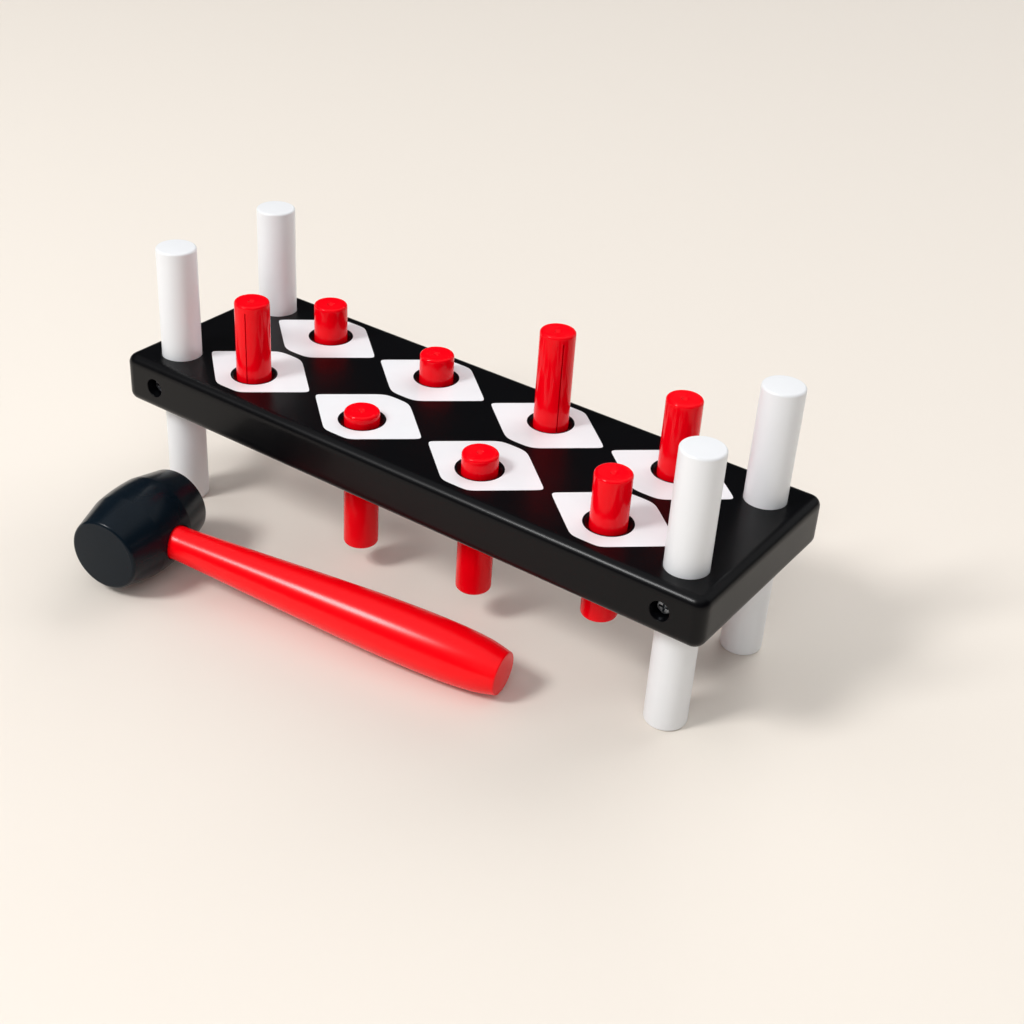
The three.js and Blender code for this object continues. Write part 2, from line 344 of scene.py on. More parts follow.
def add_node(tree, kind, inputs=None, **settings):
    """Adds a node. An input is a value, or the output socket it is linked from."""
    node = tree.nodes.new(kind)
    for name, value in settings.items():
        setattr(node, name, value)
    for name, value in (inputs or {}).items():
        if isinstance(value, bpy.types.NodeSocket):
            tree.links.new(value, node.inputs[name])
        else:
            node.inputs[name].default_value = value
    return node


def new_finish(name, shader):
    """A material with its Principled shader, whose own sockets take the even values."""
    finish = bpy.data.materials.new(name)
    finish.use_nodes = True
    finish.node_tree.nodes.clear()
    principled = add_node(finish.node_tree, "ShaderNodeBsdfPrincipled", shader)
    add_node(finish.node_tree, "ShaderNodeOutputMaterial", {"Surface": principled.outputs["BSDF"]})
    return finish, finish.node_tree, principled


def shade(rgb, factor):
    """A colour made darker or lighter by a factor, with the alpha that a colour socket wants."""
    return tuple(min(1, c * factor) for c in rgb) + (1,)


def lacquered_wood(name, rgb, roughness, specular, coat, grain_turn, telegraph_mm, peel_mm):
    """Sprayed lacquer on beech: a smooth skin with a clean highlight. The grain, along the Z axis before
    grain_turn (Euler angles) is applied, still shows through faintly as long ridges telegraph_mm high. Over
    them the spray leaves an orange peel, peel_mm deep, and the colour and gloss drift a little. Ridges and
    peel have their real widths. The IOR is lacquer's own, and the rest is matched to the object."""
    ridge_width, peel_width, drift_width = 2.2 * MM, 1.6 * MM, 22 * MM
    across_to_along = 0.04  # a ridge is 25 times as long as it is wide
    finish, tree, shader = new_finish(
        name,
        {
            "IOR": 1.5,
            "Specular IOR Level": specular,
            "Coat Weight": coat,
            "Coat Roughness": 0.08,
            "Coat IOR": 1.5,
        },
    )
    place = add_node(tree, "ShaderNodeTexCoord").outputs["Object"]
    along_grain = add_node(
        tree, "ShaderNodeMapping", {"Vector": place, "Rotation": grain_turn}, vector_type="TEXTURE"
    ).outputs["Vector"]
    stretched = add_node(
        tree, "ShaderNodeMapping", {"Vector": along_grain, "Scale": (1, 1, across_to_along)}
    ).outputs["Vector"]
    grain = add_node(
        tree,
        "ShaderNodeTexNoise",
        {"Vector": stretched, "Scale": 1 / ridge_width, "Detail": 4, "Roughness": 0.6, "Distortion": 0.3},
    )
    peel = add_node(
        tree,
        "ShaderNodeTexNoise",
        {"Vector": place, "Scale": 1 / peel_width, "Detail": 2, "Roughness": 0.4},
    )
    drift = add_node(
        tree,
        "ShaderNodeTexNoise",
        {"Vector": place, "Scale": 1 / drift_width, "Detail": 3, "Roughness": 0.5},
    )
    tone = add_node(
        tree,
        "ShaderNodeMix",
        {"Factor": drift.outputs["Fac"], "A": shade(rgb, 0.93), "B": shade(rgb, 1.05)},
        data_type="RGBA",
    )
    streaked = add_node(
        tree,
        "ShaderNodeMix",
        {"Factor": grain.outputs["Fac"], "A": tone.outputs["Result"], "B": shade(rgb, 0.97)},
        data_type="RGBA",
    )
    gloss = add_node(
        tree,
        "ShaderNodeMapRange",
        {"Value": drift.outputs["Fac"], "To Min": roughness * 0.85, "To Max": roughness * 1.15},
    )
    ridges = add_node(
        tree,
        "ShaderNodeBump",
        {"Height": grain.outputs["Fac"], "Strength": 0.35, "Distance": telegraph_mm * MM},
    )
    skin = add_node(
        tree,
        "ShaderNodeBump",
        {
            "Height": peel.outputs["Fac"],
            "Strength": 0.3,
            "Distance": peel_mm * MM,
            "Normal": ridges.outputs["Normal"],
        },
    )
    tree.links.new(streaked.outputs["Result"], shader.inputs["Base Color"])
    tree.links.new(gloss.outputs["Result"], shader.inputs["Roughness"])
    tree.links.new(skin.outputs["Normal"], shader.inputs["Normal"])
    tree.links.new(skin.outputs["Normal"], shader.inputs["Coat Normal"])
    return finish


def moulded_rubber(name, rgb):
    """Black rubber from a lightly blasted steel mould: a dim sheen over a fine pebble, and a greyer bloom
    in patches. The real pebble, about 0.1 mm wide, is too fine to show, so it is drawn 0.6 mm wide."""
    pebble_width, bloom_width = 0.6 * MM, 14 * MM
    finish, tree, shader = new_finish(
        name, {"IOR": 1.5, "Specular IOR Level": 0.17, "Sheen Weight": 0.02, "Sheen Roughness": 0.4}
    )
    place = add_node(tree, "ShaderNodeTexCoord").outputs["Object"]
    pebble = add_node(
        tree,
        "ShaderNodeTexNoise",
        {"Vector": place, "Scale": 1 / pebble_width, "Detail": 3, "Roughness": 0.6},
    )
    bloom = add_node(
        tree,
        "ShaderNodeTexNoise",
        {"Vector": place, "Scale": 1 / bloom_width, "Detail": 4, "Roughness": 0.55},
    )
    tone = add_node(
        tree,
        "ShaderNodeMix",
        {"Factor": bloom.outputs["Fac"], "A": shade(rgb, 0.8), "B": shade(rgb, 1.35)},
        data_type="RGBA",
    )
    gloss = add_node(
        tree, "ShaderNodeMapRange", {"Value": bloom.outputs["Fac"], "To Min": 0.18, "To Max": 0.26}
    )
    skin = add_node(
        tree, "ShaderNodeBump", {"Height": pebble.outputs["Fac"], "Strength": 0.35, "Distance": 0.02 * MM}
    )
    tree.links.new(tone.outputs["Result"], shader.inputs["Base Color"])
    tree.links.new(gloss.outputs["Result"], shader.inputs["Roughness"])
    tree.links.new(skin.outputs["Normal"], shader.inputs["Normal"])
    return finish


def zinc_plate(name, rgb):
    """Bright zinc plate on a rolled steel screw: a clear metal glint, a little cloudy in patches."""
    patch_width = 1.5 * MM
    finish, tree, shader = new_finish(name, {"Metallic": 1})
    place = add_node(tree, "ShaderNodeTexCoord").outputs["Object"]
    cloud = add_node(
        tree,
        "ShaderNodeTexNoise",
        {"Vector": place, "Scale": 1 / patch_width, "Detail": 3, "Roughness": 0.6},
    )
    tone = add_node(
        tree,
        "ShaderNodeMix",
        {"Factor": cloud.outputs["Fac"], "A": shade(rgb, 0.75), "B": shade(rgb, 1.1)},
        data_type="RGBA",
    )
    gloss = add_node(
        tree, "ShaderNodeMapRange", {"Value": cloud.outputs["Fac"], "To Min": 0.22, "To Max": 0.4}
    )
    tree.links.new(tone.outputs["Result"], shader.inputs["Base Color"])
    tree.links.new(gloss.outputs["Result"], shader.inputs["Roughness"])
    return finish


def screen_ink(name, rgb):
    """White screen-printed ink over the lacquer: satin, with slightly uneven cover and the screen's faint
    weave. The real weave, about 0.1 mm wide, is too fine to show, so it is drawn 0.5 mm wide."""
    cover_width, weave_width = 9 * MM, 0.5 * MM
    finish, tree, shader = new_finish(name, {"IOR": 1.5, "Coat Weight": 0.3, "Coat Roughness": 0.12})
    place = add_node(tree, "ShaderNodeTexCoord").outputs["Object"]
    cover = add_node(
        tree,
        "ShaderNodeTexNoise",
        {"Vector": place, "Scale": 1 / cover_width, "Detail": 4, "Roughness": 0.6},
    )
    weave = add_node(
        tree,
        "ShaderNodeTexNoise",
        {"Vector": place, "Scale": 1 / weave_width, "Detail": 1, "Roughness": 0.4},
    )
    tone = add_node(
        tree,
        "ShaderNodeMix",
        {"Factor": cover.outputs["Fac"], "A": shade(rgb, 0.95), "B": shade(rgb, 1)},
        data_type="RGBA",
    )
    gloss = add_node(
        tree, "ShaderNodeMapRange", {"Value": cover.outputs["Fac"], "To Min": 0.3, "To Max": 0.4}
    )
    skin = add_node(
        tree, "ShaderNodeBump", {"Height": weave.outputs["Fac"], "Strength": 0.2, "Distance": 0.01 * MM}
    )
    tree.links.new(tone.outputs["Result"], shader.inputs["Base Color"])
    tree.links.new(gloss.outputs["Result"], shader.inputs["Roughness"])
    tree.links.new(skin.outputs["Normal"], shader.inputs["Normal"])
    return finish


def centre_of(node):
    low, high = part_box(node)
    return (np.array(low) + np.array(high)) / 2


class BENCH_OT_board(bpy.types.Operator):
    """Builds the board: a slab with rounded edges, peg holes, leg holes and a counterbore for each screw"""

    bl_idname = "bench.board"
    bl_label = "Board"

    def execute(self, context):
        s = context.scene.bench_board
        low, high = (np.array(corner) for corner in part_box("board"))
        middle = (low + high) / 2
        flat_low = low[:2] + s.edge_radius
        flat_high = high[:2] - s.edge_radius
        corner = s.corner_radius - s.edge_radius
        # The flat top is cut into a cell for each hole, with so many points along its sides
        holes_x = [centre_of(column.format("front"))[0] for column in COLUMNS]
        cuts_x = np.array([flat_low[0], *np.add(holes_x[1:], holes_x[:-1]) / 2, flat_high[0]])
        cuts_y = np.array([flat_low[1], middle[1], flat_high[1]])
        counts_x = [24, 32, 32, 32, 32, 24]
        count_y, count_z = 24, 12

        bore, mouth, clear = s.peg_bore / 2, s.peg_mouth / 2, s.leg_clearance
        chamfer = mouth - bore
        brim = 0.7 * MM  # flat ring round a hole that the rounding of its lip is taken from
        leg_lip, screw_lip, screw_floor = 0.3 * MM, 0.35 * MM, 0.3 * MM
        peg_hole = rounded(
            [
                (mouth + brim, high[2]),
                (mouth, high[2]),
                (bore, high[2] - chamfer),
                (bore, low[2] + chamfer),
                (mouth, low[2]),
                (mouth + brim, low[2]),
            ],
            s.mouth_radius,
            steps=4,
        )
        # Which corner of an end cell is the board's own, counted anticlockwise from the cell's low corner
        last = len(COLUMNS) - 1
        board_corner = {("front", 0): 0, ("front", last): 1, ("rear", last): 2, ("rear", 0): 3}
        sheets = []
        for j, row in enumerate(ROWS):
            for i, column in enumerate(COLUMNS):
                node = column.format(row)
                at_end = (row, i) in board_corner
                radii = [0, 0, 0, 0]
                if at_end:
                    radii[board_corner[row, i]] = corner
                box_low, box_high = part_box(node)
                leg_bore = (box_high.x - box_low.x) / 2 + clear
                leg_hole = rounded(
                    [
                        (leg_bore + brim, high[2]),
                        (leg_bore, high[2]),
                        (leg_bore, low[2]),
                        (leg_bore + brim, low[2]),
                    ],
                    leg_lip,
                    steps=3,
                )
                outline, _ = outline_of(
                    cuts_x[i : i + 2], cuts_y[j : j + 2], counts_x[i : i + 1], [count_y], radii
                )
                profile = leg_hole if at_end else peg_hole
                cell, rings = holed_cell(outline, centre_of(node)[:2], profile)
                underside = cell[:rings].copy()
                underside[..., 2] = low[2]
                sheets += [sheet(cell, closed=True), sheet(underside, closed=True)]

        # The rim is a quarter circle (radius sin a out, radius (1 - cos a) down), an upright side and a
        # quarter circle, carried round the flat top
        path, outward = outline_of(cuts_x, cuts_y, counts_x, [count_y] * 2, [corner] * 4)
        a = np.linspace(0, math.pi / 2, 9)
        side_z = np.linspace(high[2] - s.edge_radius, low[2] + s.edge_radius, count_z + 1)
        out = s.edge_radius * np.concatenate([np.sin(a), np.ones(count_z - 1), np.cos(a)])
        z = np.concatenate(
            [
                high[2] - s.edge_radius * (1 - np.cos(a)),
                side_z[1:-1],
                low[2] + s.edge_radius * (1 - np.sin(a)),
            ]
        )
        plan = path + out[:, None, None] * outward
        rim = np.concatenate([plan, np.broadcast_to(z[:, None, None], plan.shape[:2] + (1,))], -1)
        half_way = (path + np.roll(path, -1, 0)) / 2
        facing = (outward + np.roll(outward, -1, 0)) / 2
        by_leg = (half_way[:, 0] < cuts_x[1]) | (half_way[:, 0] > cuts_x[-2])
        screwed = by_leg & (np.abs(facing[:, 1]) > STRAIGHT_ON)
        on_side = (z[:-1] <= side_z[0] + WELD) & (z[1:] >= side_z[-1] - WELD)
        sheets.append(sheet(rim, closed=True, keep=~(on_side[:, None] & screwed)))

        # A cell with a counterbore closes each opening that this leaves in the long sides
        radius, depth = s.counterbore / 2, s.counterbore_depth
        screw_hole = rounded(
            [(radius + brim, 0), (radius, 0), (radius, depth), (0, depth)], [screw_lip, screw_floor], steps=4
        )
        for place in CORNERS:
            left, front = "left" in place, "front" in place
            stretch = (cuts_x[0] + corner, cuts_x[1]) if left else (cuts_x[-2], cuts_x[-1] - corner)
            outline, _ = outline_of(stretch, side_z[[-1, 0]], [counts_x[0]], [count_z])
            centre = centre_of("leg_screw_" + place)
            cell, _ = holed_cell(outline, centre[[0, 2]], screw_hole)
            y = low[1] + cell[..., 2] if front else high[1] - cell[..., 2]
            sheets.append(sheet(np.stack([cell[..., 0], y, cell[..., 1]], -1), closed=True))

        finish = lacquered_wood(
            "gloss_black_lacquer_on_beech",
            s.lacquer,
            roughness=0.3,
            specular=0.14,
            coat=0.05,
            grain_turn=(0, math.pi / 2, 0),
            telegraph_mm=0.003,
            peel_mm=0.006,
        )
        make_piece("lacquered_board", sheets, finish, "bench", "board_lacquer", "board")
        return {"FINISHED"}


class BENCH_OT_print(bpy.types.Operator):
    """Builds the printed pattern: a white six-sided tile of ink round each peg hole"""

    bl_idname = "bench.print"
    bl_label = "Printed pattern"

    def execute(self, context):
        s = context.scene.bench_print
        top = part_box("board")[1].z
        finish = screen_ink("white_screen_ink", s.ink)
        a = round_angles(240)
        inner = context.scene.bench_board.peg_mouth / 2 + s.margin
        # The ink's section: how far out each ring lies, and whether it is over or under the lacquer's top
        t = np.array([0, 0, 0.35, 0.7, 1, 1, 0])[:, None]
        z = top + np.array([-1, 1, 1, 1, 1, -1, -1]) * s.thickness
        for row in ROWS:
            low, high = s.outer_reach, s.inner_reach
            if row == "rear":
                low, high = high, low
            tip = (high - low) / 2
            corners = np.array(
                [
                    (s.half_length, s.half_flat, -s.half_flat, -s.half_length, -s.half_flat, s.half_flat),
                    (tip, high, high, tip, -low, -low),
                ]
            ).T
            outer = self.soft_polygon(a, corners, s.crispness)
            radius = inner + t * (outer - inner)
            for column in COLUMNS[1:-1]:
                node = column.format(row)
                centre = centre_of(node)
                points = np.stack(
                    [
                        centre[0] + radius * np.cos(a),
                        centre[1] + radius * np.sin(a),
                        np.broadcast_to(z[:, None], radius.shape),
                    ],
                    -1,
                )
                name = "printed_tile_" + node.removeprefix("peg_")
                # The ink has no CAD node
                make_piece(name, [sheet(points, closed=True)], finish, "bench", "leg_lacquer")
        return {"FINISHED"}

    def soft_polygon(self, a, corners, crispness):
        """Distance from the centre to a polygon in direction a. A side at distance h with outward normal n
        is met at h / (n . direction), and the sides are combined as (sum of distances ** -q) ** (-1 / q),
        which rounds the corners less the larger q, the crispness, is."""
        side = np.roll(corners, -1, 0) - corners
        normal = np.stack([side[:, 1], -side[:, 0]], 1) / np.linalg.norm(side, axis=1, keepdims=True)
        h = (corners * normal).sum(1)
        towards = normal @ np.stack([np.cos(a), np.sin(a)]) / h[:, None]
        return (np.maximum(towards, 0) ** crispness).sum(0) ** (-1 / crispness)


class BENCH_OT_legs(bpy.types.Operator):
    """Builds the four legs: round posts with softened ends"""

    bl_idname = "bench.legs"
    bl_label = "Legs"

    def execute(self, context):
        s = context.scene.bench_legs
        finish = lacquered_wood(
            "satin_white_lacquer_on_beech",
            s.lacquer,
            roughness=0.34,
            specular=0.5,
            coat=0.1,
            grain_turn=(0, 0, 0),
            telegraph_mm=0.02,
            peel_mm=0.02,
        )
        for place in CORNERS:
            low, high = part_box("leg_" + place)
            radius = (high.x - low.x) / 2
            corners = [(0, low.z), (radius, low.z), (radius, high.z), (0, high.z)]
            outline = rounded(corners, s.end_radius, steps=8)
            post = turned(outline, round_angles(96)) + np.array([low.x + radius, low.y + radius, 0])
            name = f"turned_leg_{place}"
            make_piece(name, [sheet(post, closed=True)], finish, "bench", "leg_lacquer", "leg_" + place)
        return {"FINISHED"}


class BENCH_OT_screws(bpy.types.Operator):
    """Builds the four leg screws, with a cross recess and a thread"""

    bl_idname = "bench.screws"
    bl_label = "Leg screws"

    def execute(self, context):
        s = context.scene.bench_screws
        finish = zinc_plate("zinc_plated_steel", s.zinc)
        for place in CORNERS:
            node = "leg_screw_" + place
            low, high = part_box(node)
            head = (high.x - low.x) / 2
            shank = high.y - low.y - s.head_height
            side = 1 if "front" in place else -1
            seat = (low.y if side > 0 else high.y) + side * s.head_height
            centre = ((low.x + high.x) / 2, (low.z + high.z) / 2)
            points = self.screw(s, head, shank)
            placed = np.stack(
                [centre[0] + points[..., 0], seat - side * points[..., 2], centre[1] + points[..., 1]], -1
            )
            name = f"zinc_screw_{place}"
            make_piece(name, [sheet(placed, closed=True)], finish, "bench", "screw_steel", node)
        return {"FINISHED"}

    def screw(self, s, head, shank):
        """The thread's radius is core + (crest - core) * ridge, where ridge is a peak in the fraction of
        height / pitch - angle / turn, and all of it shrinks to nothing at the point. The head is turned,
        and its top sinks by the recess depth where either arm of the cross covers it."""
        thread_foot = 0.45  # share of the pitch that the foot of the thread takes
        run_out = 1.5 * MM  # the thread dies away over this length below the head
        wall = 0.12 * MM  # how far the recess's walls lean, from lip to floor
        edge = 0.3 * MM  # rounding of the head's edges
        a = round_angles(96)
        z = np.linspace(-shank, 0, 150)[:, None]
        fraction = (z / s.pitch - a / (2 * math.pi)) % 1
        ridge = np.clip(1 - np.abs(2 * fraction - 1) / thread_foot, 0, 1)
        taper = np.clip((z + shank) / s.point, 0, 1)
        fade = taper * np.clip(-z / run_out, 0, 1)
        radius = (s.core / 2) * taper + (s.crest - s.core) / 2 * ridge * fade
        thread = np.stack([radius * np.cos(a), radius * np.sin(a), np.broadcast_to(z, radius.shape)], -1)

        top = s.head_height
        dome, flat = head * 0.8, head * 0.7
        side = rounded(
            [(s.core / 2, 0), (head, 0), (head, top / 2), (dome, top), (flat, top)], edge, steps=4
        )
        cap = np.linspace(flat, 0, 26)[1:, None]
        x, y = np.abs(cap * np.cos(a)), np.abs(cap * np.sin(a))
        width, span = s.recess_width / 2, s.recess_span / 2

        def arm(across, along):
            """How far an arm of the cross is sunk: from 0 outside it to 1 on its floor."""
            return np.clip((width - across) / wall, 0, 1) * np.clip((span - along) / (3 * wall), 0, 1)

        sunk = np.maximum(arm(x, y), arm(y, x)) * s.recess_depth
        face = np.stack([cap * np.cos(a), cap * np.sin(a), top - sunk], -1)
        return np.concatenate([thread, turned(side, a), face])


class BENCH_OT_pegs(bpy.types.Operator):
    """Builds the eight pegs: lacquered dowels with dished ends and a closed saw cut"""

    bl_idname = "bench.pegs"
    bl_label = "Pegs"

    def execute(self, context):
        s = context.scene.bench_pegs
        finish = lacquered_wood(
            "gloss_red_lacquer_on_beech",
            s.lacquer,
            roughness=0.13,
            specular=0.15,
            coat=0.05,
            grain_turn=(0, 0, 0),
            telegraph_mm=0.001,
            peel_mm=0.003,
        )
        for node, turn in CUT_TURNS.items():
            low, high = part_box(node)
            centre = centre_of(node)
            sheets = self.peg(s, (high.x - low.x) / 2, low.z, high.z)
            c, d = math.cos(math.radians(turn)), math.sin(math.radians(turn))
            turning = np.array([[c, d, 0], [-d, c, 0], [0, 0, 1]])
            shift = np.array([centre[0], centre[1], 0])
            sheets = [(points @ turning + shift, quads) for points, quads in sheets]
            make_piece("lacquered_" + node, sheets, finish, node, "peg_lacquer", node)
        return {"FINISHED"}

    def peg(self, s, radius, low, high):
        """A turned dowel whose columns at the saw cut, |y| < half its width, are left out between the cut's
        ends. Two flat walls y = -width / 2 and y = width / 2 and two end strips line the cut."""
        dimple_lip, dish_lip = 0.5 * MM, 9 * MM
        columns = 46  # on each side of the peg, from cut to cut
        end = rounded(
            [
                (0, s.dimple_depth),
                (s.dimple_radius, s.dish_depth),
                (s.dish_radius, 0),
                (radius, 0),
                (radius, 2 * s.edge_radius),
            ],
            [dimple_lip, dish_lip, s.edge_radius],
        )
        cut_low = (low + high - s.cut_length) / 2
        cut_high = (low + high + s.cut_length) / 2
        outline = np.concatenate(
            [end + (0, low), [(radius, cut_low), (radius, cut_high)], (end * (1, -1) + (0, high))[::-1]]
        )
        slit = math.asin(s.cut_width / 2 / radius)
        half_turn = np.concatenate([[-slit, 0], np.linspace(slit, math.pi - slit, columns + 1)[:-1]])
        angles = np.concatenate([half_turn, half_turn + math.pi])
        in_cut = np.tile(np.arange(len(half_turn)) < 2, 2)
        between = np.arange(len(outline) - 1) == len(end)
        sheets = [sheet(turned(outline, angles), closed=True, keep=~(between[:, None] & in_cut))]
        y = np.array([-s.cut_width / 2, 0, s.cut_width / 2])
        x = np.sqrt(radius**2 - y**2)
        strip = np.stack([np.stack([-x, x], 1), np.stack([y, y], 1)], -1)
        ends = [np.concatenate([strip, np.full((3, 2, 1), z)], -1) for z in (cut_low, cut_high)]
        sheets += [sheet(cap) for cap in ends]
        sheets += [sheet(np.stack([ends[0][k], ends[1][k]])) for k in (0, 2)]
        return sheets


def mallet_place(s):
    """The turning and place of the mallet, whose head lies along its own Y and its handle along its own X,
    and the handle's slope. It slopes until its grip lies on the floor, by the least
    asin(rise / distance) - atan(radius / along) over its outline."""
    grip = handle_outline(s)
    grip = grip[grip[:, 1] > s.middle]
    rise = s.middle / 2
    slopes = np.arcsin(rise / np.hypot(grip[:, 1], grip[:, 0])) - np.arctan2(grip[:, 0], grip[:, 1])
    slope = float(slopes.min())
    turning = Matrix.Rotation(s.turn, 3, "Z") @ Matrix.Rotation(slope, 3, "Y")
    return np.array(turning), centre_of("mallet_head"), slope


def handle_outline(s):
    """Radius and distance along the handle: a straight neck, then a Catmull-Rom curve through the measured
    points, whose tangent at a point is half the way from the point before to the point after."""
    neck_end, inner_rounding = 20 * MM, 0.6 * MM
    p = np.array(HANDLE_OUTLINE)[:, ::-1] * MM
    before = p[np.maximum(np.arange(len(p) - 1) - 1, 0)]
    after = p[np.minimum(np.arange(len(p) - 1) + 2, len(p) - 1)]
    start, stop = p[:-1, None], p[1:, None]
    leaving, arriving = (stop - before[:, None]) / 2, (after[:, None] - start) / 2
    t = np.linspace(0, 1, 16, endpoint=False)[:, None]
    swell = (
        (2 * start - 2 * stop + leaving + arriving) * t**3
        + (3 * stop - 3 * start - 2 * leaving - arriving) * t**2
        + leaving * t
        + start
    ).reshape(-1, 2)
    neck = rounded(
        [(0, -s.socket_depth), (s.neck / 2, -s.socket_depth), (s.neck / 2, neck_end)], inner_rounding
    )
    a = np.linspace(0, math.pi / 2, 9)
    butt = p[-1] + s.butt_radius * np.stack([np.cos(a) - 1, np.sin(a)], 1)
    return np.concatenate([neck, swell, butt, [(0, butt[-1, 1])]])


class BENCH_OT_mallet_head(bpy.types.Operator):
    """Builds the mallet's rubber head: a crowned barrel with coned ends and a socket for the handle"""

    bl_idname = "bench.mallet_head"
    bl_label = "Mallet head"

    def execute(self, context):
        s = context.scene.bench_mallet
        half, middle, shoulder = s.head_length / 2, s.middle / 2, s.shoulder / 2
        band = half - s.taper

        def crown(y):
            """Radius of the crowned band: middle - (middle - shoulder) * (y / band) squared."""
            return middle - (middle - shoulder) * (y / band) ** 2

        # The barrel's columns are left out where the socket's cell goes, cell_y to each side of the middle
        cell_y = 9.3 * MM
        sides, cell_sides = 96, 9
        shoulder_rounding = 1.2 * MM
        inner = -band + 0.5 * MM  # just past the shoulder's rounding
        end = rounded(
            [(0, -half), (s.end / 2, -half), (shoulder, -band), (crown(inner), inner)],
            [s.rim_radius, shoulder_rounding],
            steps=8,
        )
        y = np.linspace(-cell_y, cell_y, 21)
        outline = np.concatenate([end, np.stack([crown(y), y], 1), (end * (1, -1))[::-1]])

        def barrel(angle, y, radius):
            """Points on the barrel: (radius cos a, y, radius sin a)."""
            return np.stack([radius * np.cos(angle), y, radius * np.sin(angle)], -1)

        a = round_angles(sides)
        wrapped = barrel(*np.broadcast_arrays(a, outline[:, 1, None], outline[:, 0, None]))
        at_socket = np.minimum(np.arange(sides), sides - 1 - np.arange(sides)) < cell_sides
        by_socket = np.abs((outline[1:, 1] + outline[:-1, 1]) / 2) < cell_y
        sheets = [sheet(wrapped, closed=True, keep=~(by_socket[:, None] & at_socket))]

        # The socket's cell follows the barrel, and its lip dips in: x = sqrt(crown squared - z squared)
        reach = cell_sides * 2 * math.pi / sides * middle
        cell, _ = outline_of((-reach, reach), (-cell_y, cell_y), [2 * cell_sides], [len(y) - 1])
        facing = np.arctan2(cell[:, 1], cell[:, 0])
        lip = np.array(SOCKET_LIP) * MM + (s.neck / 2 + s.socket_gap, 0)
        z, v = lip[:, :1] * np.cos(facing), lip[:, :1] * np.sin(facing)
        t = np.array(SOCKET_RINGS)[:, None]
        u_plan = cell[:, 0] + t * (middle * np.arcsin(z[0] / crown(v[0])) - cell[:, 0])
        v_plan = cell[:, 1] + t * (v[0] - cell[:, 1])
        skin = barrel(u_plan / middle, v_plan, crown(v_plan))
        rim = np.stack([np.sqrt(crown(v) ** 2 - z**2) - lip[:, 1:], v, z], -1)
        floor_x = np.full(len(facing), -s.socket_depth - s.socket_gap)
        floor = np.stack([floor_x, v[-1], z[-1]], -1)
        centre = np.stack([floor_x, 0 * floor_x, 0 * floor_x], -1)
        sheets.append(sheet(np.concatenate([skin, rim[1:], [floor, centre]]), closed=True))

        turning, place, _ = mallet_place(s)
        sheets = [(points @ turning.T + place, quads) for points, quads in sheets]
        finish = moulded_rubber("moulded_black_rubber", s.rubber)
        make_piece("rubber_mallet_head", sheets, finish, "mallet", "head_rubber", "mallet_head")
        return {"FINISHED"}


class BENCH_OT_mallet_handle(bpy.types.Operator):
    """Builds the mallet's handle: a turned, lacquered grip that swells towards its butt"""

    bl_idname = "bench.mallet_handle"
    bl_label = "Mallet handle"

    def execute(self, context):
        s = context.scene.bench_mallet
        turning, place, slope = mallet_place(s)
        points = turned(handle_outline(s), round_angles(128))[..., [2, 0, 1]]
        sheets = [sheet(points @ turning.T + place, closed=True)]
        finish = lacquered_wood(
            "gloss_red_lacquer_on_turned_beech",
            s.lacquer,
            roughness=0.23,
            specular=0.28,
            coat=0,
            grain_turn=(0, math.pi / 2 + slope, s.turn),
            telegraph_mm=0.001,
            peel_mm=0.003,
        )
        make_piece("lacquered_mallet_handle", sheets, finish, "mallet", "handle_lacquer", "mallet_handle")
        return {"FINISHED"}


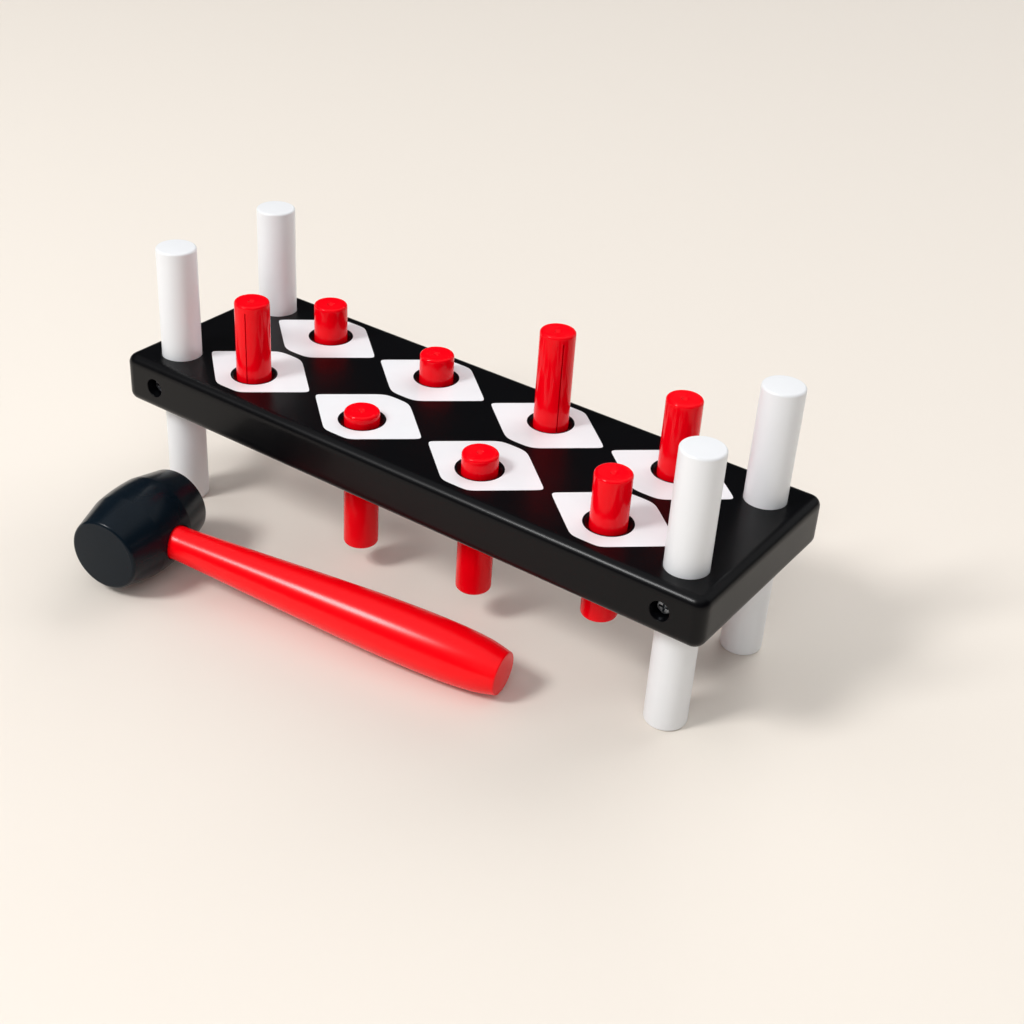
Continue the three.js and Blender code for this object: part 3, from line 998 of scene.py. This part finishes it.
class BENCH_OT_stage(bpy.types.Operator):
    """Builds the pale floor, the studio lights and the camera"""

    bl_idname = "bench.stage"
    bl_label = "Stage"

    def execute(self, context):
        s = context.scene.bench_stage
        scene = context.scene
        scene.view_settings.view_transform = "Standard"

        # The floor reaches far enough for its edge to stand at the horizon in low views
        floor_reach = 30
        side = np.linspace(-floor_reach, floor_reach, 3)
        x, y = np.meshgrid(side, side)
        points, quads = sheet(np.stack([x, y, 0 * x], -1))
        mesh = bpy.data.meshes.new("pale_floor")
        mesh.from_pydata(points, [], quads)
        finish, _, _ = new_finish(
            "matt_pale_paint", {"Base Color": (*s.floor, 1), "Roughness": 0.6, "Specular IOR Level": 0.2}
        )
        mesh.materials.append(finish)
        floor = bpy.data.objects.new("pale_floor", mesh)
        context.collection.objects.link(floor)

        scene.world = self.studio(s.floor)
        # Two softboxes, in watts and metres, give the highlights
        self.lamp("softbox_key", "AREA", (-0.9, -1.65, 1.95), energy=46, size=0.62)
        self.lamp("softbox_rim", "AREA", (1, 1.8, 1.25), energy=4, size=1.6)
        # Three silks, with their strength and their width in degrees, fill the shade and leave no highlight
        for name, place, energy, spread in (
            ("left_silk", (-1, -0.3, 0.4), 0.7, 60),
            ("right_silk", (0.5, -0.85, 0.62), 0.9, 50),
            ("rear_silk", (0, 1, 0.5), 2, 60),
        ):
            silk = self.lamp(name, "SUN", place, energy=energy, angle=math.radians(spread))
            silk.visible_glossy = False

        data = bpy.data.cameras.new("camera")
        data.lens = s.lens
        data.sensor_width = 36
        data.clip_start, data.clip_end = 0.05, 50
        camera = bpy.data.objects.new("camera", data)
        context.collection.objects.link(camera)
        az, el = s.azimuth, s.elevation
        forward = np.array([-math.sin(az) * math.cos(el), math.cos(az) * math.cos(el), -math.sin(el)])
        right = np.array([math.cos(az), math.sin(az), 0])
        down = np.cross(forward, right)
        c, d = math.cos(s.roll), math.sin(s.roll)
        right, down = c * right + d * down, c * down - d * right
        facing = Matrix(np.stack([right, -down, -forward], 1)).to_4x4()
        camera.matrix_world = Matrix.Translation(s.place) @ facing
        scene.camera = camera
        return {"FINISHED"}

    def lamp(self, name, kind, place, **settings):
        """A lamp that shines from its place towards the origin."""
        data = bpy.data.lights.new(name, kind)
        for setting, value in settings.items():
            setattr(data, setting, value)
        lamp = bpy.data.objects.new(name, data)
        bpy.context.collection.objects.link(lamp)
        lamp.location = place
        lamp.rotation_mode = "QUATERNION"
        lamp.rotation_quaternion = Vector(place).to_track_quat("Z", "Y")
        return lamp

    def studio(self, floor):
        """A dim room under a bright ceiling: the light grows with the height a ray comes from, so that the
        black lacquer mirrors the dim part. The room itself shows in the floor's colour."""
        world = bpy.data.worlds.new("studio")
        world.use_nodes = True
        tree = world.node_tree
        tree.nodes.clear()
        place = add_node(tree, "ShaderNodeTexCoord").outputs["Generated"]
        height = add_node(tree, "ShaderNodeSeparateXYZ", {"Vector": place}).outputs["Z"]
        glow = add_node(
            tree,
            "ShaderNodeMapRange",
            {"Value": height, "From Min": 0.62, "From Max": 0.9, "To Min": 0.03, "To Max": 0.75},
            interpolation_type="SMOOTHSTEP",
        )
        ceiling = add_node(
            tree, "ShaderNodeBackground", {"Color": (0.97, 0.98, 1, 1), "Strength": glow.outputs["Result"]}
        )
        room = add_node(tree, "ShaderNodeBackground", {"Color": (*floor, 1)})
        seen = add_node(tree, "ShaderNodeLightPath").outputs["Is Camera Ray"]
        both = add_node(tree, "ShaderNodeMixShader", {"Fac": seen})
        tree.links.new(ceiling.outputs["Background"], both.inputs[1])
        tree.links.new(room.outputs["Background"], both.inputs[2])
        add_node(tree, "ShaderNodeOutputWorld", {"Surface": both.outputs["Shader"]})
        return world


BUILDERS = (
    (BENCH_OT_board, "bench_board"),
    (BENCH_OT_print, "bench_print"),
    (BENCH_OT_legs, "bench_legs"),
    (BENCH_OT_screws, "bench_screws"),
    (BENCH_OT_pegs, "bench_pegs"),
    (BENCH_OT_mallet_head, "bench_mallet"),
    (BENCH_OT_mallet_handle, "bench_mallet"),
    (BENCH_OT_stage, "bench_stage"),
)
SETTINGS = {
    "bench_board": BoardSettings,
    "bench_print": PrintSettings,
    "bench_legs": LegSettings,
    "bench_screws": ScrewSettings,
    "bench_pegs": PegSettings,
    "bench_mallet": MalletSettings,
    "bench_stage": StageSettings,
}


class VIEW3D_PT_bench(bpy.types.Panel):
    """Lists the bench's builders with their sizes and colours"""

    bl_label = "Pounding bench"
    bl_space_type = "VIEW_3D"
    bl_region_type = "UI"
    bl_category = "Bench"

    def draw(self, context):
        for operator, settings in BUILDERS:
            box = self.layout.box()
            box.operator(operator.bl_idname)
            values = getattr(context.scene, settings)
            for name in values.__annotations__:
                box.prop(values, name)


CLASSES = (*SETTINGS.values(), *(operator for operator, settings in BUILDERS), VIEW3D_PT_bench)


def register():
    for cls in CLASSES:
        bpy.utils.register_class(cls)
    for name, settings in SETTINGS.items():
        setattr(bpy.types.Scene, name, PointerProperty(type=settings))


def unregister():
    for name in SETTINGS:
        delattr(bpy.types.Scene, name)
    for cls in reversed(CLASSES):
        bpy.utils.unregister_class(cls)


def main():
    """Builds the bench and its stage."""
    register()
    bpy.ops.bench.board()
    bpy.ops.bench.print()
    bpy.ops.bench.legs()
    bpy.ops.bench.screws()
    bpy.ops.bench.pegs()
    bpy.ops.bench.mallet_head()
    bpy.ops.bench.mallet_handle()
    bpy.ops.bench.stage()


if __name__ == "__main__":
    main()
